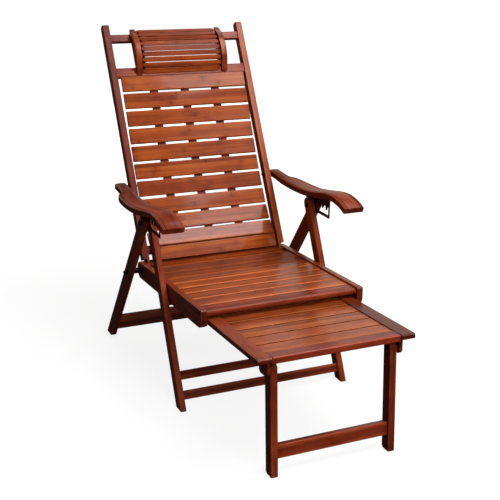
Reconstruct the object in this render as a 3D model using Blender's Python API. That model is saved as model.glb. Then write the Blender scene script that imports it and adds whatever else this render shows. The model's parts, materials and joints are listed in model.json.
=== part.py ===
# Folding deck chair: slatted seat, reclining slatted back, slide-out footrest.
# Metres, +Z up. The sitter faces -Y and +X is the sitter's left hand.
import math

import bmesh
import bpy
from mathutils import Vector

# ---------------------------------------------------------------- dimensions
Y0 = 0.31693                     # shift that puts the origin under the middle

SEAT_SLOPE = math.radians(3.4)   # the seat falls towards the back
SEAT_Y, SEAT_Z = 0.0147, 0.3725  # top edge of the seat rails at the front
RAIL_IN, RAIL_OUT = 0.250, 0.270
RAIL_H = 0.057
RAIL_FRONT = -0.009
SLAT_TOP = -0.005
SLAT_T = 0.014
SLAT_GAP = 0.004
# middles of the gaps between the seat slats, from the front edge of the nose
SEAT_EDGES = (-0.001, 0.0510, 0.1150, 0.1750, 0.2270, 0.2810, 0.3350, 0.4000, 0.4680, 0.5640)
LAST_HALF = 0.2385               # the last slat runs on between the back's feet

FRONT_TILT = math.radians(27.09)
FRONT_Y = 0.107                  # front face of the front legs at the floor
FRONT_D = 0.0364
FRONT_IN, FRONT_OUT = 0.2715, 0.2915
REAR_TILT = math.radians(35.3)
REAR_Y, REAR_Z = 0.7563, -0.0137
REAR_D = 0.0377
REAR_IN, REAR_OUT = 0.2965, 0.3165
LEG_TOP = 0.008                  # the legs' round tops stand this far past the pivot

BACK_TILT = math.radians(29.62)
BACK_Y, BACK_Z = 0.5300, 0.3419  # front face of the back at the seat
STILE_IN, STILE_OUT = 0.240, 0.262
STILE_D = 0.0293
STILE_TOP = 0.845
SHOULDER = 0.014
TONGUE_OUT = 0.2495
BACK_SLAT_X = 0.2295
BACK_SLAT_T = 0.010
BATTEN_X = (-0.115, 0.0, 0.115)
BATTEN_W = 0.029
BATTEN_T = 0.009
NOTCH = 0.0608                   # top of the notch in the battens' feet

ARM_T = 0.0205
ARM_PIVOT_Y, ARM_PIVOT_Z = 0.678, 0.568
RACK_X0, RACK_X1 = 0.2925, 0.2955
RACK_Y0, RACK_Y1 = 0.2802, 0.4438
BAR, STRAP = 0.0070, 0.0100
SLOT_LO, TIP, ROOT = 0.5195, 0.5338, 0.5460
TEETH = 6

FOOT_Y, FOOT_Z = -0.3259, 0.3578  # top front edge of the footrest
FOOT_OUT, FOOT_IN = 0.2438, 0.2005
FOOT_T = 0.016
FOOT_LEN = 0.445
FLEG_IN, FLEG_OUT = 0.1755, 0.1975
FLEG_D = 0.036
FLEG_TILT = math.radians(5.0)
FLEG_PIVOT_Y, FLEG_PIVOT_Z = -0.291, 0.311

BOLT_R = 0.004
HOLE_R = 0.00415
SEG = 16
GAP = 0.0003

# ------------------------------------------------------------------- helpers
for o in list(bpy.data.objects):
    bpy.data.objects.remove(o, do_unlink=True)

COLL = bpy.context.scene.collection


def material(name, colour, rough, metal=0.0):
    m = bpy.data.materials.new(name)
    m.use_nodes = True
    b = m.node_tree.nodes["Principled BSDF"]
    b.inputs["Base Color"].default_value = (*colour, 1.0)
    b.inputs["Roughness"].default_value = rough
    b.inputs["Metallic"].default_value = metal
    return m


def wood(name):
    return material(name, (0.16, 0.045, 0.022), 0.3)


def slatwood(name):
    return material(name, (0.30, 0.095, 0.045), 0.28)


def steel(name):
    return material(name, (0.06, 0.06, 0.065), 0.4, 1.0)


def v2(a, b):
    return Vector((a, b))


def finish(name, bm, mat, origin):
    """Make the object with its own origin, given in the unshifted frame."""
    o = Vector((origin[0], origin[1] - Y0, origin[2]))
    for v in bm.verts:
        v.co.y -= Y0
        v.co -= o
    bmesh.ops.recalc_face_normals(bm, faces=bm.faces[:])
    me = bpy.data.meshes.new(name)
    bm.to_mesh(me)
    bm.free()
    me.materials.append(mat(name + "_finish"))
    ob = bpy.data.objects.new(name, me)
    ob.location = o
    COLL.objects.link(ob)
    return ob


def circle(c, r, n=SEG):
    return [v2(c[0] + r * math.cos(2 * math.pi * i / n),
               c[1] + r * math.sin(2 * math.pi * i / n)) for i in range(n)]


def prism(name, outline, x0, x1, mat, origin, holes=()):
    """A (y, z) outline with round holes, extruded along X."""
    bm = bmesh.new()
    loops = [outline] + [h if isinstance(h, list) else circle(*h) for h in holes]
    sides = []
    for x in (x0, x1):
        rings, edges = [], []
        for lp in loops:
            vs = [bm.verts.new((x, p[0], p[1])) for p in lp]
            es = [bm.edges.new((vs[i], vs[(i + 1) % len(vs)])) for i in range(len(vs))]
            rings.append(vs)
            edges += es
        bmesh.ops.triangle_fill(bm, use_beauty=True, use_dissolve=False, edges=edges)
        sides.append(rings)
    for a, b in zip(*sides):
        n = len(a)
        for i in range(n):
            j = (i + 1) % n
            bm.faces.new((a[i], a[j], b[j], b[i]))
    return finish(name, bm, mat, origin)


def board(name, a, u, v, half_x, size_u, size_v, mat, origin, cham=0.0, x_mid=0.0):
    """A board across X: corner a in (y, z), sides along the unit vectors u and v."""
    c = cham
    pts = ([a + u * c, a + u * (size_u - c), a + u * size_u + v * c,
            a + u * size_u + v * (size_v - c), a + u * (size_u - c) + v * size_v,
            a + u * c + v * size_v, a + v * (size_v - c), a + v * c]
           if c > 0 else
           [a, a + u * size_u, a + u * size_u + v * size_v, a + v * size_v])
    return prism(name, pts, x_mid - half_x, x_mid + half_x, mat, origin)


def lathe_x(name, profile, c, mat, origin):
    """A turned pin along X: (x, radius) steps round the axis at c in (y, z)."""
    bm = bmesh.new()
    rings = []
    for x, r in profile:
        rings.append([bm.verts.new((x, p[0], p[1])) for p in circle(c, r)])
    for a, b in zip(rings, rings[1:]):
        for i in range(SEG):
            j = (i + 1) % SEG
            bm.faces.new((a[i], a[j], b[j], b[i]))
    bm.faces.new(rings[0])
    bm.faces.new(rings[-1])
    return finish(name, bm, mat, origin)


def boolean(ob, other, how):
    """Cut or join with a helper solid, then drop the helper."""
    md = ob.modifiers.new("cut", "BOOLEAN")
    md.operation = how
    md.solver = "EXACT"
    md.object = other
    bpy.context.view_layer.update()
    dg = bpy.context.evaluated_depsgraph_get()
    me = bpy.data.meshes.new_from_object(ob.evaluated_get(dg))
    ob.modifiers.remove(md)
    mats = [m for m in ob.data.materials]
    ob.data = me
    me.materials.clear()
    me.materials.append(mats[0])
    bpy.data.objects.remove(other, do_unlink=True)


def meet(p, u, q, w):
    det = u.x * (-w.y) + w.x * u.y
    d = q - p
    k = (d.x * (-w.y) + w.x * d.y) / det
    return p + u * k


SIDES = (("left", 1), ("right", -1))


def spanx(sign, a, b):
    return (sign * a, sign * b) if sign > 0 else (sign * b, sign * a)


# ------------------------------------------------------------ frame of axes
sd = v2(math.cos(SEAT_SLOPE), -math.sin(SEAT_SLOPE))
sn = v2(math.sin(SEAT_SLOPE), math.cos(SEAT_SLOPE))
S0 = v2(SEAT_Y, SEAT_Z)


def seat(t, h):
    return S0 + sd * t + sn * h


fu = v2(math.sin(FRONT_TILT), math.cos(FRONT_TILT))
fn = v2(math.cos(FRONT_TILT), -math.sin(FRONT_TILT))
ru = v2(-math.sin(REAR_TILT), math.cos(REAR_TILT))
rn = v2(math.cos(REAR_TILT), math.sin(REAR_TILT))
fc = v2(FRONT_Y, 0) + fn * (FRONT_D / 2)
rc = v2(REAR_Y, REAR_Z) + rn * (REAR_D / 2)
B2 = meet(fc, fu, rc, ru)                       # the legs' pivot
B1 = meet(rc, ru, seat(0, -RAIL_H / 2), sd)     # the back's pivot
P5 = v2(ARM_PIVOT_Y, ARM_PIVOT_Z)               # the armrests' pivot
PF = v2(FLEG_PIVOT_Y, FLEG_PIVOT_Z)             # the footrest legs' pivot
bu = v2(math.sin(BACK_TILT), math.cos(BACK_TILT))
bn = v2(-math.cos(BACK_TILT), math.sin(BACK_TILT))
BO = v2(BACK_Y, BACK_Z)


def back(s, d):
    return BO + bu * s + bn * d


ROOT_O = (0.0, Y0, 0.0)
FRONT_O = (0.0, B2.x, B2.y)
BACK_O = (0.0, B1.x, B1.y)
ARM_O = (0.0, P5.x, P5.y)
FOOT_O = (0.0, FOOT_Y, FOOT_Z)
FLEG_O = (0.0, PF.x, PF.y)


def arc(c, r, a0, a1, n):
    return [v2(c.x + r * math.cos(a0 + (a1 - a0) * i / n),
               c.y + r * math.sin(a0 + (a1 - a0) * i / n)) for i in range(n + 1)]


# ---------------------------------------------------------------- seat frame
t_piv = (B1 - S0).dot(sd)
for side, sg in SIDES:
    r = 0.022
    cf = seat(RAIL_FRONT + r, -RAIL_H + r)
    base = math.atan2(sd.y, sd.x)
    pts = [seat(RAIL_FRONT + 0.004, 0), seat(RAIL_FRONT, -0.004)]
    pts += arc(cf, r, base + math.pi, base + 1.5 * math.pi, 5)
    pts += arc(B1, RAIL_H / 2, base - math.pi / 2, base + math.pi / 2, 10)
    prism("seat_rail_" + side, pts, *spanx(sg, RAIL_IN, RAIL_OUT), wood, ROOT_O,
          holes=[(B1, HOLE_R)])

half_in = RAIL_IN - GAP
last = len(SEAT_EDGES) - 2
for i in range(last + 1):
    t = SEAT_EDGES[i] + (SLAT_GAP / 2 if i > 0 else 0.0)
    w = SEAT_EDGES[i + 1] - (SLAT_GAP / 2 if i < last else 0.0) - t
    half = half_in if i < last else LAST_HALF
    if i == 0:
        r = 0.010
        base = math.atan2(sd.y, sd.x)
        c = seat(t + r, SLAT_TOP - r)
        pts = [seat(t + w, SLAT_TOP), seat(t + w, SLAT_TOP - SLAT_T),
               seat(t + 0.022, SLAT_TOP - SLAT_T), seat(t + 0.022, SLAT_TOP - 2 * r)]
        pts += arc(c, r, base + 1.5 * math.pi, base + 0.5 * math.pi, 8)
        prism("seat_slat_01", pts, -half_in, half_in, slatwood, ROOT_O)
    else:
        board("seat_slat_%02d" % (i + 1), seat(t, SLAT_TOP - SLAT_T), sd, sn, half, w, SLAT_T,
              slatwood, ROOT_O, cham=0.002)

for side, sg in SIDES:
    # channel that the footrest runs in, fixed to the inside of the rail
    x0, x1 = 0.2360, RAIL_IN - GAP
    w0 = 0.2452
    h = [SLAT_TOP - SLAT_T - GAP, -0.0335, -0.0525, -0.0615]
    bm = bmesh.new()
    prof = [(x0, h[0]), (x1, h[0]), (x1, h[3]), (x0, h[3]), (x0, h[2]), (w0, h[2]),
            (w0, h[1]), (x0, h[1])]
    ends = []
    for tt in (0.024, 0.506):
        ends.append([bm.verts.new((sg * x, seat(tt, hh).x, seat(tt, hh).y)) for x, hh in prof])
    n = len(prof)
    for i in range(n):
        j = (i + 1) % n
        bm.faces.new((ends[0][i], ends[0][j], ends[1][j], ends[1][i]))
    bm.faces.new(ends[0])
    bm.faces.new(ends[1])
    finish("footrest_guide_" + side, bm, wood, ROOT_O)

# ------------------------------------------------------------------ rear legs
for side, sg in SIDES:
    kf = -REAR_Z / ru.y
    pf = v2(REAR_Y, REAR_Z) + ru * kf
    kb = -(REAR_Z + rn.y * REAR_D) / ru.y
    pb = v2(REAR_Y, REAR_Z) + rn * REAR_D + ru * kb
    base = math.atan2(rn.y, rn.x)
    pts = [pf, pb] + arc(B2 + ru * LEG_TOP, REAR_D / 2, base, base + math.pi, 10)
    prism("rear_leg_" + side, pts, *spanx(sg, REAR_IN, REAR_OUT), wood, ROOT_O,
          holes=[(B1, HOLE_R), (B2, HOLE_R)])
st = v2(REAR_Y, REAR_Z) + ru * 0.046
board("rear_stretcher", st + rn * 0.004, rn, ru, REAR_IN - GAP, 0.031, 0.052, wood, ROOT_O,
      cham=0.002)

for side, sg in SIDES:
    lathe_x("back_pivot_bolt_" + side,
            [(sg * x, r) for x, r in ((0.2345, 0.0075), (0.2395, 0.0075), (0.2395, BOLT_R),
                                      (0.2704, BOLT_R), (0.2704, 0.0095), (0.2961, 0.0095),
                                      (0.2961, BOLT_R), (0.3169, BOLT_R), (0.3169, 0.0078),
                                      (0.3230, 0.0078), (0.3230, BOLT_R), (0.3285, BOLT_R))],
            B1, steel, BACK_O)
    lathe_x("leg_pivot_bolt_" + side,
            [(sg * x, r) for x, r in ((0.2655, 0.0075), (0.2711, 0.0075), (0.2711, BOLT_R),
                                      (0.3169, BOLT_R), (0.3169, 0.0075), (0.3215, 0.0075))],
            B2, steel, FRONT_O)

# ----------------------------------------------------------------- front legs
peg = meet(fc, fu, seat(0, -RAIL_H - 0.0065), sd)
for side, sg in SIDES:
    pf = v2(FRONT_Y, 0)
    pb = pf + fn * FRONT_D + fu * (fn.y * -FRONT_D / fu.y)
    base = math.atan2(fn.y, fn.x)
    pts = [pf, pb] + arc(B2 + fu * LEG_TOP, FRONT_D / 2, base, base + math.pi, 10)
    leg = prism("front_leg_" + side, pts, *spanx(sg, FRONT_IN, FRONT_OUT), wood, FRONT_O,
                holes=[(B2, HOLE_R)])
    dowel = lathe_x("rest_dowel", [(sg * 0.2520, 0.006), (sg * 0.2800, 0.006)], peg, wood, FRONT_O)
    boolean(leg, dowel, "UNION")
for nm, k in (("lower", 0.0365), ("upper", 0.0985)):
    a = v2(FRONT_Y, 0) + fu * k + fn * 0.006
    board("front_stretcher_" + nm, a, fn, fu, FRONT_IN - GAP, 0.020, 0.028, wood, FRONT_O,
          cham=0.002)

# ----------------------------------------------------------------------- back
for side, sg in SIDES:
    # upper part at full thickness, halved below the shoulder into a tongue
    top = [back(SHOULDER, 0), back(STILE_TOP - 0.006, 0), back(STILE_TOP, -0.006),
           back(STILE_TOP, -STILE_D + 0.006), back(STILE_TOP - 0.006, -STILE_D),
           back(SHOULDER, -STILE_D)]
    stile = prism("back_stile_" + side, top, *spanx(sg, STILE_IN, STILE_OUT), wood, BACK_O,
                  holes=[(P5, 0.00313)])
    ba = math.atan2(bu.y, bu.x)
    rr = 0.0185
    tong = [back(SHOULDER + 0.02, 0), back(SHOULDER + 0.02, -STILE_D),
            back(0.004, -STILE_D - 0.008)]
    tong += arc(B1, rr, ba - 0.35 * math.pi, ba - 1.25 * math.pi, 8) + [back(-0.010, 0)]
    plate = prism("tongue", tong, *spanx(sg, STILE_IN, TONGUE_OUT), wood, BACK_O,
                  holes=[(B1, HOLE_R)])
    boolean(stile, plate, "UNION")

board("headrest_rail_upper", back(0.781, -0.004), bu, bn * -1, STILE_IN - GAP, 0.028, 0.018,
      wood, BACK_O, cham=0.002)
board("headrest_rail_lower", back(0.6525, -0.004), bu, bn * -1, STILE_IN - GAP, 0.034, 0.018,
      wood, BACK_O, cham=0.002)
board("back_bottom_rail", back(0.030, -0.0150), bu, bn * -1, STILE_IN - GAP, 0.030, 0.014,
      wood, BACK_O, cham=0.002)


def belly(s):
    """Depth of the slats' front faces: a shallow hollow that comes forward at the seat."""
    f = [(-0.02, 0.0046), (0.052, 0.0040), (0.08, -0.0052), (0.13, -0.0150), (0.20, -0.0190),
         (0.27, -0.0195), (0.34, -0.0180), (0.41, -0.0140), (0.47, -0.0090), (0.53, -0.0035),
         (0.59, 0.0010), (0.66, 0.0040)]
    for (a, p), (b, q) in zip(f, f[1:]):
        if s <= b:
            return p + (q - p) * (s - a) / (b - a)
    return f[-1][1]


slat_lo = [0.5992 - 0.0613 * i for i in range(7)] + [0.1682, 0.1080, 0.0530, 0.0077]
slat_h = [0.0528] + [0.0537] * 7 + [0.0529, 0.0492, 0.0413]
faces = []
for i, (s, h) in enumerate(zip(slat_lo, slat_h)):
    lo, hi = back(s, belly(s)), back(s + h, belly(s + h))
    last = len(slat_lo) - 1 - i
    u = (hi - lo).normalized()
    w = v2(u.y, -u.x)
    if last > 0:
        board("back_slat_%02d" % (i + 1), lo, u, w, BACK_SLAT_X, (hi - lo).length, BACK_SLAT_T,
              slatwood, BACK_O, cham=0.002)
    else:                                # bevelled along its foot, close over the seat
        c, th = 0.002, BACK_SLAT_T
        prism("back_slat_11", [lo - u * 0.0035, hi - u * c, hi + w * c, hi + w * (th - c),
                               hi + w * th - u * c, lo + w * th],
              -BACK_SLAT_X, BACK_SLAT_X, slatwood, BACK_O)
    faces.append((hi + w * (BACK_SLAT_T + GAP), w))
    start = lo + u * {0: 0.020, 1: 0.016}.get(last, 0.0)       # clear of the seat and the rail
    faces.append((start + w * (BACK_SLAT_T + GAP), w))
faces.reverse()
q, w = faces[-1]                         # end square, just under the rail
faces[-1] = (back(0.6515, (q - BO).dot(bn)), w)
front = [q for q, w in faces]
rear = []
for q, w in faces:
    e = q + w * BATTEN_T
    s, d = (e - BO).dot(bu), (e - BO).dot(bn)
    if s <= NOTCH:                       # notched to clear the bottom rail
        e = back(s, max(d, -0.0147))
        rear.append(e)
        if s > 0.040:
            rear += [back(NOTCH, -0.0147), back(NOTCH + 0.0003, d - 0.001)]
    else:
        rear.append(back(min(s, 0.6515), d))
for i, x in enumerate(BATTEN_X):
    prism("back_batten_%d" % (i + 1), front + rear[::-1], x - BATTEN_W / 2, x + BATTEN_W / 2,
          wood, BACK_O)

# headrest: strips bent over two curved end boards, on the two rails
HR_S, HR_HALF, HR_RISE = 0.7410, 0.0830, 0.030


def bulge(k, extra):
    a = -1 + 2 * k
    rise = HR_RISE + extra
    return back(HR_S + a * (HR_HALF + extra * 0.4), -0.0036 + rise * (1 - abs(a) ** 2.3))


HR_T = 0.008
HR_X = 0.1490
strip = [bulge(j / 12, 0.0) for j in range(13)]
under = []
for j in range(1, 12):
    q = bulge(j / 12, 0.0)
    u = (bulge((j + 0.5) / 12, 0.0) - bulge((j - 0.5) / 12, 0.0)).normalized()
    e = q + v2(u.y, -u.x) * HR_T
    if (e - BO).dot(bn) > -0.0030:
        under.append(e)
lo_s, hi_s = (under[0] - BO).dot(bu), (under[-1] - BO).dot(bu)
under = [back(lo_s, -0.0036)] + under + [back(hi_s, -0.0036)]
prism("headrest_pad", strip + under[::-1], -HR_X, HR_X, slatwood, BACK_O)
for side, sg in SIDES:
    pts = [bulge(j / 12, 0.005) for j in range(13)]
    prism("headrest_end_" + side, pts, *spanx(sg, HR_X + GAP, 0.1715), wood, BACK_O)
for side, sg in SIDES:
    lathe_x("armrest_bolt_" + side,
            [(sg * x, r) for x, r in ((0.2350, 0.006), (0.2396, 0.006), (0.2396, 0.003),
                                      (0.2960, 0.003))], P5, steel, ARM_O)

# ------------------------------------------------------------------- armrests
# along the arm from the back to the front: y, top height, inner x, outer x
ARM = [(0.6960, 0.5785, 0.2690, 0.3070), (0.6600, 0.5775, 0.2690, 0.3080),
       (0.6220, 0.5745, 0.2690, 0.3095), (0.6050, 0.5730, 0.2690, 0.3130),
       (0.5900, 0.5715, 0.2690, 0.3270), (0.5600, 0.5705, 0.2690, 0.3345),
       (0.5100, 0.5705, 0.2690, 0.3375), (0.4600, 0.5725, 0.2690, 0.3380),
       (0.4100, 0.5770, 0.2685, 0.3375), (0.3600, 0.5855, 0.2680, 0.3370),
       (0.3200, 0.5935, 0.2675, 0.3370), (0.2800, 0.6015, 0.2670, 0.3370),
       (0.2450, 0.6060, 0.2665, 0.3375), (0.2150, 0.6062, 0.2665, 0.3380),
       (0.1850, 0.6022, 0.2665, 0.3380), (0.1600, 0.5957, 0.2665, 0.3380),
       (0.1370, 0.5862, 0.2670, 0.3375)]


def arm_under(y):
    for a, b in zip(ARM, ARM[1:]):
        if b[0] <= y <= a[0]:
            f = (y - a[0]) / (b[0] - a[0])
            return a[1] + (b[1] - a[1]) * f - ARM_T
    return ARM[0][1] - ARM_T


for side, sg in SIDES:
    bm = bmesh.new()
    rings = []
    c = 0.003
    for y, z, xi, xo in ARM:
        ring = [(xi, z - c), (xi + c, z), (xo - c, z), (xo, z - c), (xo, z - ARM_T + c),
                (xo - c, z - ARM_T), (xi + c, z - ARM_T), (xi, z - ARM_T + c)]
        rings.append([bm.verts.new((sg * x, y, zz)) for x, zz in ring])
    for a, b in zip(rings, rings[1:]):
        for i in range(8):
            j = (i + 1) % 8
            bm.faces.new((a[i], a[j], b[j], b[i]))
    bm.faces.new(rings[0])
    bm.faces.new(rings[-1])
    arm = finish("armrest_" + side, bm, slatwood, ARM_O)
    drill = lathe_x("drill", [(sg * 0.2600, 0.00313), (sg * 0.2965, 0.00313)], P5, steel, ARM_O)
    boolean(arm, drill, "DIFFERENCE")

    # steel rack: hooked teeth above the slot, a closed strap below it
    n = 12
    ys = [RACK_Y0 + (RACK_Y1 - RACK_Y0) * k / n for k in range(n + 1)]
    outer = [v2(y, arm_under(y) - GAP) for y in ys]
    outer += [v2(RACK_Y1, SLOT_LO - STRAP), v2(RACK_Y0, SLOT_LO - STRAP)]
    slot = [v2(RACK_Y0 + BAR, SLOT_LO)]
    for k in range(TEETH):
        y = RACK_Y0 + BAR + (k + 0.6) * (RACK_Y1 - RACK_Y0 - 2 * BAR) / TEETH
        if k == 0:
            slot.append(v2(RACK_Y0 + BAR, ROOT))
        slot += [v2(y - 0.0075, ROOT), v2(y - 0.0045, TIP + 0.003), v2(y - 0.0010, TIP),
                 v2(y + 0.0040, TIP + 0.002), v2(y + 0.0050, ROOT)]
    slot += [v2(RACK_Y1 - BAR, ROOT), v2(RACK_Y1 - BAR, SLOT_LO)]
    prism("arm_rack_" + side, outer, *spanx(sg, RACK_X0, RACK_X1), steel, ARM_O, holes=[slot])

# ------------------------------------------------------------------- footrest
F0 = v2(FOOT_Y, FOOT_Z)


def foot(t, h):
    return F0 + sd * t + sn * h


LUG0, LUG1 = 0.012, 0.064
for side, sg in SIDES:
    rail = prism("footrest_rail_" + side,
                 [foot(0.004, 0), foot(0, -0.004), foot(0, -FOOT_T + 0.003), foot(0.003, -FOOT_T),
                  foot(FOOT_LEN, -FOOT_T), foot(FOOT_LEN, 0)],
                 *spanx(sg, FOOT_IN, FOOT_OUT), wood, FOOT_O)
    lug = prism("lug", [foot(LUG0, -0.010), foot(LUG0, -0.052), foot(LUG0 + 0.008, -0.060),
                        foot(LUG1 - 0.008, -0.060), foot(LUG1, -0.052), foot(LUG1, -0.010)],
                *spanx(sg, 0.2005, 0.2110), wood, FOOT_O, holes=[(PF, HOLE_R)])
    boolean(rail, lug, "UNION")
    lathe_x("footleg_bolt_" + side,
            [(sg * x, r) for x, r in ((0.1705, 0.0072), (0.1750, 0.0072), (0.1750, BOLT_R),
                                      (0.2106, BOLT_R))], PF, steel, FLEG_O)

# front rail and slats, tied together by two battens underneath
FOOT_EDGES = (0.003, 0.0500, 0.1090, 0.1720, 0.2360, 0.2990, 0.3700, 0.4445)
FOOT_GAP = 0.0065
FOOT_SINK = 0.0035               # the slats lie below the rails around them
FRONT_RAIL_T = 0.0205
hx = FOOT_IN - GAP
panel = None
for x in (-0.105, 0.105):
    tie = prism("tie", [foot(0.012, -FOOT_T), foot(0.440, -FOOT_T), foot(0.440, -0.0095),
                        foot(0.012, -0.0095)], x - 0.016, x + 0.016, slatwood, FOOT_O)
    if panel is None:
        panel = tie
    else:
        keep = bmesh.new()
        keep.from_mesh(panel.data)
        keep.from_mesh(tie.data)
        keep.to_mesh(panel.data)
        keep.free()
        bpy.data.objects.remove(tie, do_unlink=True)
slats = bmesh.new()
for a, b in zip(FOOT_EDGES, FOOT_EDGES[1:]):
    first = a < 0.01
    low, high = (-FRONT_RAIL_T, 0.0) if first else (-0.0125, -FOOT_SINK)
    a += 0.0 if first else FOOT_GAP / 2
    one = board("one", foot(a, low), sd, sn, hx, b - FOOT_GAP / 2 - a, high - low, slatwood, FOOT_O,
                cham=0.0015)
    slats.from_mesh(one.data)
    bpy.data.objects.remove(one, do_unlink=True)
me = bpy.data.meshes.new("slats")
slats.to_mesh(me)
slats.free()
more = bpy.data.objects.new("more", me)
more.location = panel.location
COLL.objects.link(more)
boolean(panel, more, "UNION")
panel.name = "footrest_slats"
panel.data.name = "footrest_slats"
panel.data.materials.clear()
panel.data.materials.append(slatwood("footrest_slats_finish"))

# --------------------------------------------------------------- footrest legs
lu = v2(math.sin(FLEG_TILT), math.cos(FLEG_TILT))
ln = v2(math.cos(FLEG_TILT), -math.sin(FLEG_TILT))
for side, sg in SIDES:
    pf = PF - ln * (FLEG_D / 2)
    pb = PF + ln * (FLEG_D / 2)
    ff = pf - lu * (pf.y / lu.y)
    fb = pb - lu * (pb.y / lu.y)
    base = math.atan2(ln.y, ln.x)
    pts = [ff, fb - v2(0.006, 0), fb + lu * 0.006] + arc(PF, FLEG_D / 2, base, base + math.pi, 10)
    prism("footrest_leg_" + side, pts, *spanx(sg, FLEG_IN, FLEG_OUT), wood, FLEG_O,
          holes=[(PF, HOLE_R)])
a = PF - lu * ((PF.y - 0.0490) / lu.y) - ln * (FLEG_D / 2 - 0.007)
board("footrest_stretcher", a, ln, lu, FLEG_IN - GAP, 0.020, 0.0410, wood, FLEG_O, cham=0.002)
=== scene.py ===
import json
import math
import zlib

import bmesh
import bpy
from mathutils import Matrix, Vector


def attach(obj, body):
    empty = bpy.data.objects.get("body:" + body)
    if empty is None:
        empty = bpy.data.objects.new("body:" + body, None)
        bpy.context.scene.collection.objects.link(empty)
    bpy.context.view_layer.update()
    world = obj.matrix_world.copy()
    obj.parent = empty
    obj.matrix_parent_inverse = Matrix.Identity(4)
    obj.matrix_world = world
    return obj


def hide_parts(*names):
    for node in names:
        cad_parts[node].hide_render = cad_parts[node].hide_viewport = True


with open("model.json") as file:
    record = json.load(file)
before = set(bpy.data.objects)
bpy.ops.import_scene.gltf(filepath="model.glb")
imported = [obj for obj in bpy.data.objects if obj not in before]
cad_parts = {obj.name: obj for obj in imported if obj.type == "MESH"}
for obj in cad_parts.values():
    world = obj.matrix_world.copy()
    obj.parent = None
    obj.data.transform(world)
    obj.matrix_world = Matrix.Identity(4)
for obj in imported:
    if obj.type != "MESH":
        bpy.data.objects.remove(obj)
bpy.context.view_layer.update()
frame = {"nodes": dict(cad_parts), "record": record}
NODES = frame["nodes"]
BODY = {n: b for b, ns in frame["record"]["behaviour"]["bodies"].items() for n in ns}
Y0 = 0.31693


def rnd(name, k=0):
    return (zlib.crc32(("%s/%d" % (name, k)).encode()) % 100003) / 100003.0


def v2(y, z):
    return Vector((0.0, y, z))


def unit(deg, k=1):
    a = math.radians(deg)
    return v2(k * math.sin(a), math.cos(a))


X = Vector((1, 0, 0))
SEAT_U = v2(math.cos(math.radians(3.4)), -math.sin(math.radians(3.4)))
FRONT_U = unit(27.09)
REAR_U = unit(35.3, -1)
BACK_U = unit(29.62)
FLEG_U = unit(5.0)
BACK_O = v2(0.5300 - Y0, 0.3419)
BACK_N = X.cross(BACK_U) * -1.0
if BACK_N.y > 0:
    BACK_N = -BACK_N


def back(s, d):
    return BACK_O + BACK_U * s + BACK_N * d


# ------------------------------------------------------------------ materials
class Graph:
    def __init__(self, name):
        self.mat = bpy.data.materials.new(name)
        self.mat.use_nodes = True
        self.t = self.mat.node_tree
        self.bsdf = self.t.nodes["Principled BSDF"]

    def node(self, kind, **props):
        n = self.t.nodes.new(kind)
        for k, v in props.items():
            setattr(n, k, v)
        return n

    def put(self, sock, v):
        if v is None:
            return
        if isinstance(v, bpy.types.NodeSocket):
            self.t.links.new(v, sock)
        else:
            sock.default_value = v

    def attr(self, name, out="Vector"):
        n = self.node("ShaderNodeAttribute", attribute_name=name)
        return n.outputs[out]

    def m(self, op, a, b=None, c=None, clamp=False):
        n = self.node("ShaderNodeMath", operation=op, use_clamp=clamp)
        for s, v in zip(n.inputs, (a, b, c)):
            self.put(s, v)
        return n.outputs[0]

    def sep(self, v):
        n = self.node("ShaderNodeSeparateXYZ")
        self.put(n.inputs[0], v)
        return n.outputs

    def comb(self, x, y, z):
        n = self.node("ShaderNodeCombineXYZ")
        for s, v in zip(n.inputs, (x, y, z)):
            self.put(s, v)
        return n.outputs[0]

    def noise(self, vec, scale=1.0, detail=3.0, rough=0.55, distort=0.0):
        n = self.node("ShaderNodeTexNoise")
        self.put(n.inputs["Vector"], vec)
        n.inputs["Scale"].default_value = scale
        n.inputs["Detail"].default_value = detail
        n.inputs["Roughness"].default_value = rough
        n.inputs["Distortion"].default_value = distort
        return n.outputs["Fac"]

    def white(self, v):
        n = self.node("ShaderNodeTexWhiteNoise", noise_dimensions="1D")
        self.put(n.inputs["W"], v)
        return n.outputs["Value"]

    def step(self, v, a, b, lo=0.0, hi=1.0):
        n = self.node("ShaderNodeMapRange", interpolation_type="SMOOTHSTEP")
        self.put(n.inputs["Value"], v)
        n.inputs["From Min"].default_value = a
        n.inputs["From Max"].default_value = b
        n.inputs["To Min"].default_value = lo
        n.inputs["To Max"].default_value = hi
        return n.outputs["Result"]

    def ramp(self, v, stops):
        n = self.node("ShaderNodeValToRGB")
        self.put(n.inputs["Fac"], v)
        e = n.color_ramp.elements
        while len(e) < len(stops):
            e.new(0.5)
        for el, (p, c) in zip(e, stops):
            el.position = p
            el.color = (*c, 1.0)
        return n.outputs["Color"]

    def mix(self, kind, f, a, b):
        n = self.node("ShaderNodeMix", data_type="RGBA", blend_type=kind)
        self.put(n.inputs[0], f)
        self.put(n.inputs[6], a)
        self.put(n.inputs[7], b)
        return n.outputs[2]

    def bump(self, h, strength, dist, normal=None):
        n = self.node("ShaderNodeBump")
        self.put(n.inputs["Height"], h)
        n.inputs["Strength"].default_value = strength
        n.inputs["Distance"].default_value = dist
        self.put(n.inputs["Normal"], normal)
        return n.outputs["Normal"]


def srgb(r, g, b):
    def f(c):
        c /= 255.0
        return c / 12.92 if c <= 0.04045 else ((c + 0.055) / 1.055) ** 2.4
    return (f(r), f(g), f(b))


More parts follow.
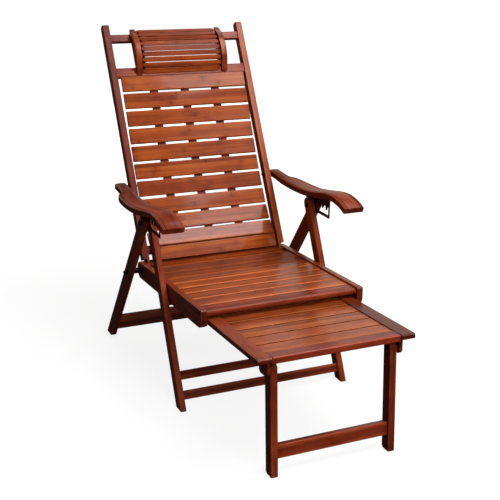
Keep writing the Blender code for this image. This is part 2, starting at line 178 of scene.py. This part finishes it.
def bamboo(name, dark, mid, light, strip, joints, rough, coat, coat_rough, edge_wear_and_highlight=0.38, whole=0.0,
           side_shade=0.0, spec=0.4, routed=(), end_sheen=0.0):
    """Strips of split bamboo glued edge to edge, stained and varnished."""
    g = Graph(name)
    u, v, w = g.sep(g.attr("grain"))
    hu, hv, hw = g.sep(g.attr("gsize"))
    seed = g.attr("gseed", "Fac")
    us = g.m("MULTIPLY_ADD", seed, 13.7, u)
    vs = g.m("MULTIPLY_ADD", seed, 5.1, v)
    ws = g.m("MULTIPLY_ADD", seed, 3.3, w)
    # the glued strips
    sc = g.m("MULTIPLY_ADD", seed, 7.0, g.m("DIVIDE", v, strip))
    row = g.m("FLOOR", sc)
    tone = g.white(g.m("MULTIPLY_ADD", seed, 91.0, row))
    edge_in = g.m("ABSOLUTE", g.m("SUBTRACT", g.m("FRACT", sc), 0.5))
    glue = g.step(edge_in, 0.465, 0.497)

    def grain(a, b, detail, rough_=0.6):
        return g.noise(g.comb(g.m("MULTIPLY", us, a), g.m("MULTIPLY", vs, b),
                              g.m("MULTIPLY", ws, b)), 1.0, detail, rough_)

    fibre = grain(11.0, 620.0, 3.0)
    band = grain(1.7, 105.0, 4.0)
    cloud = grain(7.0, 13.0, 3.0)
    fleck = grain(55.0, 1500.0, 2.0)
    # the stem's joints cross each strip at its own places
    pos = g.m("ADD", g.m("MULTIPLY", us, 3.1), g.m("MULTIPLY", tone, 6.0))
    pos = g.m("ADD", pos, g.m("MULTIPLY", g.noise(g.comb(0.0, g.m("MULTIPLY", vs, 160.0), seed)), 0.03))
    near = g.m("ABSOLUTE", g.m("SUBTRACT", g.m("FRACT", pos), 0.5))
    ring = g.m("MULTIPLY", g.step(near, 0.020, 0.003), g.step(g.noise(g.comb(g.m("MULTIPLY", us, 9.0), g.m("MULTIPLY", vs, 60.0), seed)), 0.36, 0.66))
    halo = g.step(near, 0.09, 0.0)
    val = g.m("MULTIPLY", band, 0.42)
    val = g.m("MULTIPLY_ADD", fibre, 0.22, val)
    val = g.m("MULTIPLY_ADD", cloud, 0.34, val)
    val = g.m("MULTIPLY_ADD", tone, 0.16, val)
    val = g.m("SUBTRACT", val, g.m("MULTIPLY", halo, 0.06 * joints))
    val = g.step(val, 0.36, 0.86)
    col = g.ramp(val, ((0.0, dark), (0.5, mid), (1.0, light)))
    col = g.mix("MULTIPLY", g.m("MULTIPLY", ring, 0.42 * joints), col, (*[c * 0.45 for c in mid], 1))
    col = g.mix("MULTIPLY", g.m("MULTIPLY", g.step(fleck, 0.62, 0.74), 0.30), col, (0.45, 0.36, 0.30, 1))
    col = g.mix("MULTIPLY", g.m("MULTIPLY", glue, 0.28), col, (0.30, 0.20, 0.16, 1))
    # each board took the stain a little differently
    lift = g.m("MULTIPLY_ADD", g.white(g.m("MULTIPLY", seed, 517.0)), 0.16, 0.92)
    col = g.mix("MULTIPLY", 1.0, col, g.comb(lift, lift, lift))
    # cut ends are dark; long edges are painted paler, a painted highlight along the edges that catch the light, broken
    # up like rubbed wear
    au = g.m("SUBTRACT", hu, g.m("ABSOLUTE", u))
    av = g.m("SUBTRACT", hv, g.m("ABSOLUTE", v))
    aw = g.m("SUBTRACT", hw, g.m("ABSOLUTE", w))
    lo = g.m("MINIMUM", au, av)
    hi = g.m("MAXIMUM", au, av)
    edge = g.m("MAXIMUM", lo, g.m("MINIMUM", hi, aw))
    end = g.step(au, 0.0015, 0.0003)
    col = g.mix("MULTIPLY", g.m("MULTIPLY", end, 0.6), col, (0.32, 0.26, 0.24, 1))
    pale_edge = g.m("MULTIPLY", g.step(edge, 0.0030, 0.0003), g.step(g.noise(g.comb(g.m("MULTIPLY", us, 26.0), vs, ws), 1.0, 3.0), 0.40 - whole, 0.68 - whole))
    col = g.mix("MIX", g.m("MULTIPLY", pale_edge, edge_wear_and_highlight), col, (*[min(1.0, c * 1.5) for c in light], 1))
    # painted shade: the narrow long side faces, down in the gaps between boards, are darkened where shade falls
    if side_shade > 0:
        shaded_side = g.m("MULTIPLY", g.step(av, 0.0012, 0.0004), g.step(aw, 0.0004, 0.0010))
        col = g.mix("MULTIPLY", g.m("MULTIPLY", shaded_side, side_shade), col, (0.16, 0.10, 0.08, 1))
    # the routed lines of the upper face are drawn darker
    for c in routed:
        line = g.m("MULTIPLY", g.step(g.m("ABSOLUTE", g.m("SUBTRACT", av, c)), 0.0015, 0.0006),
                   g.step(g.m("SUBTRACT", hw, w), 0.0050, 0.0038))
        col = g.mix("MULTIPLY", g.m("MULTIPLY", line, 0.75), col, (0.26, 0.17, 0.13, 1))
    # painted sheen: paler towards the far end of the piece, the front of an armrest, where the varnish catches the
    # light
    if end_sheen > 0:
        k = g.m("MULTIPLY_ADD", g.m("DIVIDE", u, hu), end_sheen, 1.0)
        col = g.mix("MULTIPLY", 1.0, col, g.comb(k, k, k))
    # darker towards both ends of each piece, over the last 30 mm
    deep = g.step(g.m("SUBTRACT", hu, g.m("ABSOLUTE", u)), 0.030, 0.002)
    col = g.mix("MULTIPLY", g.m("MULTIPLY", deep, 0.30), col, (0.55, 0.42, 0.36, 1))
    g.put(g.bsdf.inputs["Base Color"], col)
    r = g.m("MULTIPLY_ADD", fibre, 0.16, rough - 0.08)
    r = g.m("MULTIPLY_ADD", pale_edge, 0.12, r)
    g.put(g.bsdf.inputs["Roughness"], g.m("MULTIPLY_ADD", cloud, 0.10, g.m("SUBTRACT", r, 0.05)))
    h = g.m("MULTIPLY_ADD", fibre, 0.5, g.m("MULTIPLY", band, 0.6))
    h = g.m("SUBTRACT", h, g.m("MULTIPLY", glue, 0.35))
    h = g.m("MULTIPLY_ADD", ring, 0.5 * joints, h)
    g.put(g.bsdf.inputs["Normal"], g.bump(h, 0.35, 0.0005))
    orange = g.m("MULTIPLY", g.noise(g.comb(g.m("MULTIPLY", us, 60.0), g.m("MULTIPLY", vs, 90.0), g.m("MULTIPLY", ws, 90.0)), 1.0, 2.0), 1.0)
    g.put(g.bsdf.inputs["Coat Normal"], g.bump(orange, 0.10, 0.0006))
    g.bsdf.inputs["Specular IOR Level"].default_value = spec
    g.bsdf.inputs["Coat Weight"].default_value = coat
    g.bsdf.inputs["Coat Roughness"].default_value = coat_rough
    g.bsdf.inputs["Coat IOR"].default_value = 1.5
    return g.mat


def iron(name, base, rough):
    """Blackened steel: faint mottling, rubbed bright on the edges."""
    g = Graph(name)
    p = g.attr("grain")
    u, v, w = g.sep(p)
    hu, hv, hw = g.sep(g.attr("gsize"))
    a = g.noise(p, 180.0, 4.0)
    b = g.noise(p, 900.0, 2.0)
    au = g.m("SUBTRACT", hu, g.m("ABSOLUTE", u))
    aw = g.m("SUBTRACT", hw, g.m("ABSOLUTE", w))
    pale_edge = g.m("MULTIPLY", g.step(g.m("MAXIMUM", au, aw), 0.0016, 0.0002), g.step(a, 0.40, 0.62))
    col = g.ramp(a, ((0.25, [c * 0.55 for c in base]), (0.75, [c * 1.5 for c in base])))
    col = g.mix("MIX", g.m("MULTIPLY", pale_edge, 0.5), col, (0.32, 0.31, 0.30, 1))
    g.put(g.bsdf.inputs["Base Color"], col)
    g.put(g.bsdf.inputs["Roughness"], g.m("MULTIPLY_ADD", b, 0.25, rough - 0.1))
    g.put(g.bsdf.inputs["Normal"], g.bump(b, 0.25, 0.0002))
    g.bsdf.inputs["Metallic"].default_value = 0.85
    return g.mat


ROUTED = (0.0062, 0.0118)        # lines along the armrests, from each long edge
SLAT = bamboo("slat_bamboo", srgb(106, 38, 10), srgb(149, 65, 19), srgb(178, 94, 34), 0.0175, 1.2,
              0.36, 0.85, 0.09, 0.38, 0.0, 0.4, 0.20)
SEAT = bamboo("seat_bamboo", srgb(108, 40, 14), srgb(162, 74, 30), srgb(202, 110, 52), 0.0175, 0.8,
              0.34, 0.36, 0.12, 0.70, 0.22, 0.3, 0.28)
# painted shade: darker copies of the seat's bamboo for the rear slats, which lie in the shade of the back
SEAT_SHADED = bamboo("seat_bamboo_shaded", srgb(88, 30, 11), srgb(136, 58, 23), srgb(172, 88, 40), 0.0175, 0.8,
                   0.32, 0.06, 0.12, 0.60, 0.20, 0.3, 0.04)
SEAT_LAST_SHADED = bamboo("seat_bamboo_last_shaded", srgb(88, 30, 11), srgb(136, 58, 23), srgb(172, 88, 40), 0.0175, 0.8,
                   0.40, 0.0, 0.30, 0.60, 0.20, 0.3, 0.0)
FOOT = bamboo("footrest_bamboo", srgb(112, 42, 15), srgb(164, 76, 32), srgb(200, 112, 56), 0.0175, 0.8,
              0.34, 0.50, 0.12, 0.40, 0.15, 0.95)
FRAME = bamboo("frame_bamboo", srgb(76, 22, 8), srgb(126, 47, 22), srgb(160, 74, 38), 0.0105, 0.5,
               0.38, 0.42, 0.16)
# painted shade and light: a darker copy of the frame's bamboo for the right stile and right rear leg, on the side away
# from the light, and a lighter copy for the left stile, which the light falls on
FRAME_SHADED = bamboo("frame_bamboo_shaded", srgb(64, 16, 6), srgb(107, 36, 16), srgb(139, 60, 30), 0.0105, 0.5,
                   0.38, 0.36, 0.16)
FRAME_LIT = bamboo("frame_bamboo_lit", srgb(94, 32, 11), srgb(146, 62, 27), srgb(182, 94, 47), 0.0105, 0.5,
                    0.38, 0.42, 0.16)
EDGE = bamboo("edge_bamboo", srgb(84, 24, 11), srgb(130, 46, 25), srgb(162, 72, 42), 0.0160, 0.5,
              0.34, 0.50, 0.14, 0.6, 0.12)
SEAT_NOSE = bamboo("seat_nose_bamboo", srgb(88, 27, 11), srgb(134, 50, 25), srgb(166, 76, 42), 0.0160, 0.5,
                   0.34, 0.32, 0.14, 0.6, 0.12, 0.0, 0.26)
ARMS = bamboo("armrest_bamboo", srgb(82, 26, 11), srgb(128, 50, 26), srgb(162, 77, 43), 0.0150, 0.5,
              0.36, 0.20, 0.14, 0.5, 0.0, 0.45, 0.10, ROUTED, 0.20)
HEAD = bamboo("headrest_bamboo", srgb(82, 27, 8), srgb(130, 52, 18), srgb(166, 82, 35), 0.012, 0.6,
              0.40, 0.14, 0.18, 0.45, 0.1, 0.9, 0.2)
HEAD_END = bamboo("headrest_end_bamboo", srgb(84, 27, 11), srgb(134, 54, 23), srgb(170, 84, 42), 0.012, 0.0,
                  0.38, 0.34, 0.18, 0.35)
# painted shade: the cleats are near-black, standing for the shade seen in the notches between the laths' ends
CLEAT_SHADE = bamboo("headrest_cleat_shade", srgb(30, 10, 4), srgb(44, 15, 7), srgb(60, 23, 11), 0.012, 0.0,
               0.60, 0.0, 0.30, 0.0, 0.0, 0.0, 0.1)
STEEL = iron("fitting_steel", (0.035, 0.034, 0.034), 0.42)


# --------------------------------------------------------------------- pieces
def axes_for(node):
    """Grain direction and width direction of a piece."""
    if node.startswith("seat_slat") or node == "footrest_slats":
        return X, SEAT_U
    if node.startswith("back_slat") or node.startswith("headrest_rail") or node in ("back_bottom_rail", "headrest_pad"):
        return X, BACK_U
    if node.startswith("front_stretcher"):
        return X, FRONT_U
    if node == "rear_stretcher":
        return X, REAR_U
    if node == "footrest_stretcher":
        return X, FLEG_U
    if node.startswith("front_leg"):
        u = FRONT_U
    elif node.startswith("rear_leg"):
        u = REAR_U
    elif node.startswith("footrest_leg"):
        u = FLEG_U
    elif node.startswith("back_stile") or node.startswith("back_batten") or node.startswith("headrest_end"):
        u = BACK_U
    elif "bolt" in node:
        return X, v2(1, 0)
    else:
        u = SEAT_U
    return u, X.cross(u).normalized()


def tag(me, a, b, name, centre=None, half=None):
    """Grain coordinates, half sizes and a seed, kept on the mesh."""
    c = a.cross(b).normalized()
    pts = [v.co for v in me.vertices]
    q = [(p.dot(a), p.dot(b), p.dot(c)) for p in pts]
    lo = [min(t[i] for t in q) for i in range(3)]
    hi = [max(t[i] for t in q) for i in range(3)]
    mid = [(x + y) / 2 for x, y in zip(lo, hi)]
    hs = [(y - x) / 2 for x, y in zip(lo, hi)]
    keep(me, [[t[k] - mid[k] for k in range(3)] for t in q], [hs] * len(q), rnd(name))


def keep(me, grain, size, seed):
    for nm, kind in (("grain", "FLOAT_VECTOR"), ("gsize", "FLOAT_VECTOR"), ("gseed", "FLOAT")):
        me.attributes.new(nm, kind, "POINT")
    me.attributes["grain"].data.foreach_set("vector", [c for t in grain for c in t])
    me.attributes["gsize"].data.foreach_set("vector", [c for t in size for c in t])
    me.attributes["gseed"].data.foreach_set("value", [seed] * len(grain))


def shade(me, angle=38):
    for p in me.polygons:
        p.use_smooth = True
    me.set_sharp_from_angle(angle=math.radians(angle))


def place(name, me, mat, node):
    me.materials.clear()
    me.materials.append(mat)
    ob = bpy.data.objects.new(name, me)
    bpy.context.scene.collection.objects.link(ob)
    wn = ob.modifiers.new("normals", "WEIGHTED_NORMAL")
    wn.keep_sharp = True
    wn.weight = 60
    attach(ob, BODY[node])
    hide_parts(node)
    return ob


def refine(node, mat, width, seg=3, angle=26, inner=None):
    """A finer copy of a board: its sharp edges rounded over, those on its inner side by another amount if given."""
    src = NODES[node]
    bm = bmesh.new()
    bm.from_mesh(src.data)
    bmesh.ops.remove_doubles(bm, verts=bm.verts, dist=2e-5)
    bmesh.ops.dissolve_limit(bm, angle_limit=math.radians(0.6), verts=bm.verts, edges=bm.edges)
    es = [e for e in bm.edges if len(e.link_faces) == 2 and e.calc_face_angle() > math.radians(angle)]
    if inner is not None:
        mid = sum(abs(v.co.x) for v in bm.verts) / len(bm.verts)
        near = [e for e in es if all(abs(v.co.x) < mid for v in e.verts)]
        es = [e for e in es if all(abs(v.co.x) > mid for v in e.verts)]
        bmesh.ops.bevel(bm, geom=near, offset=inner, offset_type="OFFSET", segments=2, profile=0.5,
                        affect="EDGES", clamp_overlap=True, loop_slide=True)
        es = [e for e in es if e.is_valid]
    bmesh.ops.bevel(bm, geom=es, offset=width, offset_type="OFFSET", segments=seg, profile=0.5,
                    affect="EDGES", clamp_overlap=True, loop_slide=True)
    bmesh.ops.recalc_face_normals(bm, faces=bm.faces[:])
    me = bpy.data.meshes.new(node + "_look")
    bm.to_mesh(me)
    bm.free()
    a, b = axes_for(node)
    tag(me, a, b, node)
    shade(me)
    return place(node + "_look", me, mat, node)


def grid_mesh(name, rings, closed=True, caps=True):
    bm = bmesh.new()
    vs = [[bm.verts.new(p) for p in r] for r in rings]
    n = len(vs[0])
    for a, b in zip(vs, vs[1:]):
        for i in range(n):
            j = (i + 1) % n
            bm.faces.new((a[i], a[j], b[j], b[i]))
    if caps:
        bm.faces.new(vs[0])
        bm.faces.new(vs[-1])
    bmesh.ops.recalc_face_normals(bm, faces=bm.faces[:])
    me = bpy.data.meshes.new(name)
    bm.to_mesh(me)
    bm.free()
    return me


for node in sorted(NODES):
    if node == "seat_slat_01":
        refine(node, SEAT_NOSE, 0.0012)
    # the rear seat slats take the darker copies: painted shade under the back
    elif node == "seat_slat_09":
        refine(node, SEAT_LAST_SHADED, 0.0012)
    elif node in ("seat_slat_07", "seat_slat_08"):
        refine(node, SEAT_SHADED, 0.0012)
    elif node.startswith("seat_slat"):
        refine(node, SEAT, 0.0012)
    elif node.startswith("back_slat"):
        refine(node, SLAT, 0.0012)
    elif node in ("headrest_pad", "armrest_left", "armrest_right", "footrest_slats"):
        continue
    elif "bolt" in node:
        refine(node, STEEL, 0.0008, 2, 40)
    elif "rack" in node:
        refine(node, STEEL, 0.0004, 2)
    elif node.startswith("headrest_end"):
        refine(node, HEAD_END, 0.0060, 6, 40, 0.0010)
    elif "stretcher" in node or "rail" in node and node.startswith("headrest") or node == "back_bottom_rail":
        refine(node, FRAME, 0.0012)
    elif node.startswith("back_batten"):
        refine(node, FRAME, 0.0015, 2, 50)
    elif node.startswith("footrest_guide"):
        refine(node, FRAME, 0.0008, 2)
    # the stiles and the right rear leg take the lit and shaded copies: painted light and shade
    elif node == "back_stile_left":
        refine(node, FRAME_LIT, 0.0030, 4, 40)
    elif node in ("back_stile_right", "rear_leg_right"):
        refine(node, FRAME_SHADED, 0.0030, 4, 40)
    else:
        refine(node, FRAME, 0.0030, 4, 40)

# footrest: a front rail, six slats let in a little, and two ties under them
FOOT_O = v2(-0.3259 - Y0, 0.3578)
SEAT_N = v2(math.sin(math.radians(3.4)), math.cos(math.radians(3.4)))


def slab(name, mat, node, x0, x1, t0, t1, h0, h1, r):
    """A board along the footrest's slope with its edges rounded over."""
    bm = bmesh.new()
    vs = [bm.verts.new(FOOT_O + SEAT_U * t + SEAT_N * h + X * x)
          for x in (x0, x1) for t, h in ((t0, h0), (t1, h0), (t1, h1), (t0, h1))]
    for q in ((0, 1, 2, 3), (7, 6, 5, 4), (0, 4, 5, 1), (1, 5, 6, 2), (2, 6, 7, 3), (3, 7, 4, 0)):
        bm.faces.new([vs[k] for k in q])
    bmesh.ops.recalc_face_normals(bm, faces=bm.faces[:])
    bmesh.ops.bevel(bm, geom=bm.edges[:], offset=r, offset_type="OFFSET", segments=3, profile=0.5,
                    affect="EDGES", clamp_overlap=True)
    bmesh.ops.recalc_face_normals(bm, faces=bm.faces[:])
    me = bpy.data.meshes.new(name)
    bm.to_mesh(me)
    bm.free()
    along_x = abs(x1 - x0) > abs(t1 - t0)
    tag(me, X if along_x else SEAT_U, SEAT_U if along_x else X, name)
    shade(me)
    return place(name, me, mat, node)


HX = 0.2002
EDGES = (0.0500, 0.1090, 0.1720, 0.2360, 0.2990, 0.3700, 0.4445)
slab("footrest_front_rail", EDGE, "footrest_slats", -HX, HX, 0.003, 0.04675, -0.0205, 0.0, 0.0045)
for i, (a, b) in enumerate(zip(EDGES, EDGES[1:])):
    slab("footrest_slat_%02d" % (i + 1), FOOT, "footrest_slats", -HX, HX, a + 0.00325,
         b - 0.00325, -0.0125, -0.0035, 0.0007)
for i, x in enumerate((-0.105, 0.105)):
    slab("footrest_tie_%d" % (i + 1), FRAME, "footrest_slats", x - 0.016, x + 0.016, 0.0475, 0.440,
         -0.0160, -0.0126, 0.0008)

# headrest strips, each a flat lath laid across the curve of the end boards
HR_S, HR_HALF, HR_RISE = 0.7410, 0.0830, 0.030


def bulge(k):
    a = -1 + 2 * k
    return back(HR_S + a * HR_HALF, -0.0036 + HR_RISE * (1 - abs(a) ** 2.3))


arc = [bulge(i / 400) for i in range(401)]
run = [0.0]
for p, q in zip(arc, arc[1:]):
    run.append(run[-1] + (q - p).length)


def along(d):
    for i in range(400):
        if run[i + 1] >= d:
            f = (d - run[i]) / (run[i + 1] - run[i])
            return arc[i].lerp(arc[i + 1], f)
    return arc[-1]


STRIPS = 9
FIRST = 0.0036                   # the lowest lath starts a little up the curve
for i in range(STRIPS):
    step = (run[-1] - FIRST) / STRIPS
    gap = 0.0022
    p, q = along(FIRST + step * i + gap / 2), along(FIRST + step * (i + 1) - gap / 2)
    u = (q - p).normalized()
    n = u.cross(X)
    if n.dot(BACK_N) < 0:
        n = -n
    wid = (q - p).length
    thick = 0.0052
    r = 0.0016
    sect = []
    for cx, cy, a0 in ((wid - r, -r, 0), (r, -r, 90), (r, -thick + r, 180), (wid - r, -thick + r, 270)):
        for k in range(4):
            a = math.radians(a0 + 30 * k)
            sect.append((cx + r * math.cos(a), cy + r * math.sin(a)))
    half = 0.1466 - 0.0008 * rnd("lath", i)
    rings = []
    # the corners are cut back at the ends, so the row of ends is notched
    for x, cut, sh in ((-half, 0.0050, 0.5), (-half + 0.0008, 0.0045, 0.0), (-half + 0.0085, 0.0, 0.0),
                       (0.0, 0.0, 0.0), (half - 0.0085, 0.0, 0.0), (half - 0.0008, 0.0045, 0.0),
                       (half, 0.0050, 0.5)):
        ring = []
        for a, b in sect:
            a2 = wid / 2 + (a - wid / 2) * (1 - 2 * cut / wid)
            b2 = -thick / 2 + (b + thick / 2) * (1 - 0.22 * sh)
            ring.append(p + u * a2 + n * b2 + X * x)
        rings.append(ring)
    me = grid_mesh("headrest_lath_%02d" % (i + 1), rings)
    tag(me, X, u, "lath%d" % i)
    shade(me)
    place("headrest_lath_%02d" % (i + 1), me, HEAD, "headrest_pad")

# a cleat inside each end board, under the laths' ends, coloured near-black as painted shade in the notches between them
for side, sg in (("left", 1), ("right", -1)):
    rings = []
    for i in range(41):
        d = FIRST + 0.001 + (run[-1] - FIRST - 0.002) * i / 40
        p, u = along(d), (along(min(run[-1], d + 0.002)) - along(d - 0.002)).normalized()
        n = u.cross(X)
        if n.dot(BACK_N) < 0:
            n = -n
        rings.append([p - n * h + X * (sg * x) for x, h in
                      ((0.1350, 0.0066), (0.1468, 0.0066), (0.1468, 0.0105), (0.1350, 0.0105))])
    me = grid_mesh("headrest_cleat_" + side, rings)
    tag(me, BACK_U, X, "cleat_" + side)
    shade(me)
    place("headrest_cleat_" + side, me, CLEAT_SHADE, "headrest_pad")

# armrests: a crowned board with a routed line inside each long edge
ARM = [(0.6960, 0.5785, 0.2690, 0.3070), (0.6600, 0.5775, 0.2690, 0.3080),
       (0.6220, 0.5745, 0.2690, 0.3095), (0.6050, 0.5730, 0.2690, 0.3130),
       (0.5900, 0.5715, 0.2690, 0.3270), (0.5600, 0.5705, 0.2690, 0.3345),
       (0.5100, 0.5705, 0.2690, 0.3375), (0.4600, 0.5725, 0.2690, 0.3380),
       (0.4100, 0.5770, 0.2685, 0.3375), (0.3600, 0.5855, 0.2680, 0.3370),
       (0.3200, 0.5935, 0.2675, 0.3370), (0.2800, 0.6015, 0.2670, 0.3370),
       (0.2450, 0.6060, 0.2665, 0.3375), (0.2150, 0.6062, 0.2665, 0.3380),
       (0.1850, 0.6022, 0.2665, 0.3380), (0.1600, 0.5957, 0.2665, 0.3380),
       (0.1370, 0.5862, 0.2670, 0.3375)]
ARM_T = 0.0205


def arm_at(f):
    """Smooth run through the stations, f from 0 at the back to 1 at the front."""
    t = f * (len(ARM) - 1)
    i = min(int(t), len(ARM) - 2)
    t -= i
    p0, p1, p2, p3 = (ARM[max(0, min(len(ARM) - 1, i + k))] for k in (-1, 0, 1, 2))
    return [0.5 * (2 * b + (c - a) * t + (2 * a - 5 * b + 4 * c - d) * t * t + (3 * b - a - 3 * c + d) * t ** 3)
            for a, b, c, d in zip(p0, p1, p2, p3)]


def arm_section(width, t, e):
    """Outline of the board: x from the inner edge, height below the crown; e shrinks it at the ends."""
    r = 0.0042
    pts = []
    for k in range(5):
        a = math.radians(180 - 22.5 * k)
        pts.append((r + r * math.cos(a), -r + r * math.sin(a)))
    gw, gd = 0.0010, 0.0011
    a, b = ROUTED
    for c in (a, b, width - b, width - a):
        pts += [(c - 1.6 * gw, 0.0), (c - gw, -0.15 * gd), (c - 0.35 * gw, -gd), (c + 0.35 * gw, -gd), (c + gw, -0.15 * gd), (c + 1.6 * gw, 0.0)]
        if c == b:
            pts += [(width * 0.38, 0.0), (width * 0.5, 0.0), (width * 0.62, 0.0)]
    for k in range(5):
        a = math.radians(90 - 22.5 * k)
        pts.append((width - r + r * math.cos(a), -r + r * math.sin(a)))
    r2 = 0.003
    for k in range(4):
        a = math.radians(-30 * k)
        pts.append((width - r2 + r2 * math.cos(a), -t + r2 + r2 * math.sin(a)))
    for k in range(4):
        a = math.radians(-90 - 30 * k)
        pts.append((r2 + r2 * math.cos(a), -t + r2 + r2 * math.sin(a)))
    out = []
    for x, z in pts:
        crown = 0.0012 * (1 - ((x - width / 2) / (width / 2)) ** 2) - 0.0012
        if z > -t / 2:
            z += crown
        out.append((width / 2 + (x - width / 2) * (1 - 2 * e / width), -t / 2 + (z + t / 2) * (1 - 2 * e / t)))
    return out


for side, sg in (("left", 1), ("right", -1)):
    rings, info = [], []
    n = 96
    dist = 0.0
    prev = None
    stations = [0.0, 0.0015, 0.004] + [0.01 + 0.98 * i / n for i in range(n + 1)] + [0.996, 0.9985, 1.0]
    for f in stations:
        y, z, xi, xo = arm_at(f)
        q = arm_at(min(1.0, f + 0.004))
        p = arm_at(max(0.0, f - 0.004))
        tz = v2(q[0] - p[0], q[1] - p[1]).normalized()
        nz = v2(-tz.z, tz.y)
        if nz.z < 0:
            nz = -nz
        o = v2(y - Y0, z)
        if prev is not None:
            dist += (o - prev).length
        prev = o
        g = min(f, 1 - f)
        e = 0.0028 if g < 0.0005 else (0.0010 if g < 0.003 else (0.0 if g > 0.0039 else 0.0003))
        ring = []
        for x, h in arm_section(xo - xi, ARM_T, e):
            ring.append(o + nz * h + X * (sg * (xi + x)))
            info.append((dist, x - (xo - xi) / 2, h + ARM_T / 2, (xo - xi) / 2))
        rings.append(ring)
    me = grid_mesh("armrest_%s_look" % side, rings)
    keep(me, [(d - dist / 2, a, b) for d, a, b, hw in info],
         [(dist / 2, hw, ARM_T / 2) for d, a, b, hw in info], rnd("armrest_" + side))
    shade(me, 50)
    place("armrest_%s_look" % side, me, ARMS, "armrest_" + side)

# ---------------------------------------------------------------------- stage
scene = bpy.context.scene
scene.view_settings.view_transform = "Standard"
scene.view_settings.look = "None"

floor_me = bpy.data.meshes.new("floor")
floor_me.from_pydata([(-30, -30, 0), (30, -30, 0), (30, 30, 0), (-30, 30, 0)], [], [(0, 1, 2, 3)])
floor = bpy.data.objects.new("floor", floor_me)
fm = bpy.data.materials.new("floor_paper")
fm.use_nodes = True
fb = fm.node_tree.nodes["Principled BSDF"]
fb.inputs["Base Color"].default_value = (0.19, 0.19, 0.19, 1)
fb.inputs["Roughness"].default_value = 0.9
fb.inputs["Specular IOR Level"].default_value = 0.0
fb.inputs["Emission Color"].default_value = (1, 1, 1, 1)
where = fm.node_tree.nodes.new("ShaderNodeTexCoord")
far = fm.node_tree.nodes.new("ShaderNodeVectorMath")
far.operation = "LENGTH"
lift = fm.node_tree.nodes.new("ShaderNodeMapRange")
lift.interpolation_type = "SMOOTHSTEP"
lift.inputs["From Min"].default_value = 0.5
lift.inputs["From Max"].default_value = 3.2
lift.inputs["To Min"].default_value = 0.86
lift.inputs["To Max"].default_value = 1.02
fm.node_tree.links.new(where.outputs["Object"], far.inputs[0])
fm.node_tree.links.new(far.outputs["Value"], lift.inputs["Value"])
fm.node_tree.links.new(lift.outputs["Result"], fb.inputs["Emission Strength"])
floor_me.materials.append(fm)
scene.collection.objects.link(floor)
floor.visible_glossy = False
floor.visible_diffuse = False

world = bpy.data.worlds.new("studio")
scene.world = world
world.use_nodes = True
wt = world.node_tree
room = wt.nodes["Background"]
room.inputs["Color"].default_value = (1.0, 0.90, 0.80, 1)
room.inputs["Strength"].default_value = 0.024
sweep = wt.nodes.new("ShaderNodeBackground")
sweep.inputs["Color"].default_value = (1, 1, 1, 1)
sweep.inputs["Strength"].default_value = 1.0
path = wt.nodes.new("ShaderNodeLightPath")
both = wt.nodes.new("ShaderNodeMixShader")
wt.links.new(path.outputs["Is Camera Ray"], both.inputs[0])
wt.links.new(room.outputs[0], both.inputs[1])
wt.links.new(sweep.outputs[0], both.inputs[2])
wt.links.new(both.outputs[0], wt.nodes["World Output"].inputs["Surface"])


def panel(name, at, to, size, power, colour=(1, 1, 1)):
    l = bpy.data.lights.new(name, "AREA")
    l.shape = "RECTANGLE"
    l.size, l.size_y = size
    l.energy = power
    l.color = colour
    ob = bpy.data.objects.new(name, l)
    ob.location = at
    ob.rotation_euler = (Vector(to) - Vector(at)).to_track_quat("-Z", "Y").to_euler()
    scene.collection.objects.link(ob)
    return ob


# panels that only show as reflections in the varnish
for name, at, to, size, power, colour in (
        ("gloss", (1.45, -0.95, 3.8), (0, 0.1, 0.4), (1.5, 1.1), 25, (1, 0.95, 0.95)),
        ("gloss_back", (1.68, -2.00, 3.40), (0.2, 0.3, 0.5), (0.9, 0.50), 4.4, (1, 0.95, 0.92)),
        ("gloss_top", (2.10, -2.75, 3.00), (0, 0.45, 0.75), (1.2, 1.0), 1.1, (1, 0.93, 0.88)),
        ("gloss_over", (1.5, 1.3, 3.4), (0, -0.3, 0.5), (1.7, 0.9), 13, (1, 0.95, 0.92)),
        ("gloss_low", (2.05, -3.45, 3.4), (0.1, 0.2, 0.4), (1.3, 0.45), 1.3, (1, 0.95, 0.92)),
        ("wall_left", (-1.6, 3.6, 2.1), (-0.2, 0.0, 0.5), (2.0, 1.2), 20, (1, 0.92, 0.86)),
        ("wall", (2.2, 3.7, 0.7), (0.2, 0.0, 0.6), (4.0, 1.2), 7.6, (1, 0.90, 0.80)),
        ("wall_right", (2.9, 3.7, 2.2), (0.2, 0.0, 0.6), (2.8, 1.8), 8.8, (1, 0.90, 0.80))):
    pane = panel(name, at, to, size, power, colour)
    pane.visible_diffuse = False
    pane.visible_camera = False
for name, at, size, power in (("key", (1.7, -1.3, 3.7), (1.8, 1.4), 114),
                              ("key_left", (0.1, -2.2, 3.6), (1.4, 1.2), 40),
                              ("fill_front", (0.2, -4.2, 2.6), (2.6, 2.0), 98),
                              ("fill_low", (0.4, -4.0, 0.8), (2.4, 1.0), 27),
                              ("fill_back", (0.2, 4.6, 0.9), (4.0, 1.6), 150),
                              ("fill_left", (-3.8, 0.6, 1.6), (2.5, 2.0), 8)):
    soft = panel(name, at, (0, 0, 0.5), size, power)
    soft.visible_glossy = False

# --------------------------------------------------------------------- camera
AZ, EL, ROLL = math.radians(-25.095), math.radians(18.992), math.radians(1.489)
bk = Vector((math.sin(AZ) * math.cos(EL), -math.cos(AZ) * math.cos(EL), math.sin(EL)))
rt = Vector((math.cos(AZ), math.sin(AZ), 0.0))
up = bk.cross(rt)
R = rt * math.cos(ROLL) + up * math.sin(ROLL)
U = up * math.cos(ROLL) - rt * math.sin(ROLL)
cam_d = bpy.data.cameras.new("camera")
cam_d.sensor_fit = "HORIZONTAL"
cam_d.sensor_width = 36.0
cam_d.lens = 71.878
cam = bpy.data.objects.new("camera", cam_d)
mw = Matrix((R, U, bk)).transposed().to_4x4()
mw.translation = Vector((-1.27031, -2.45291 - Y0, 1.47500))
cam.matrix_world = mw
scene.collection.objects.link(cam)
scene.camera = cam
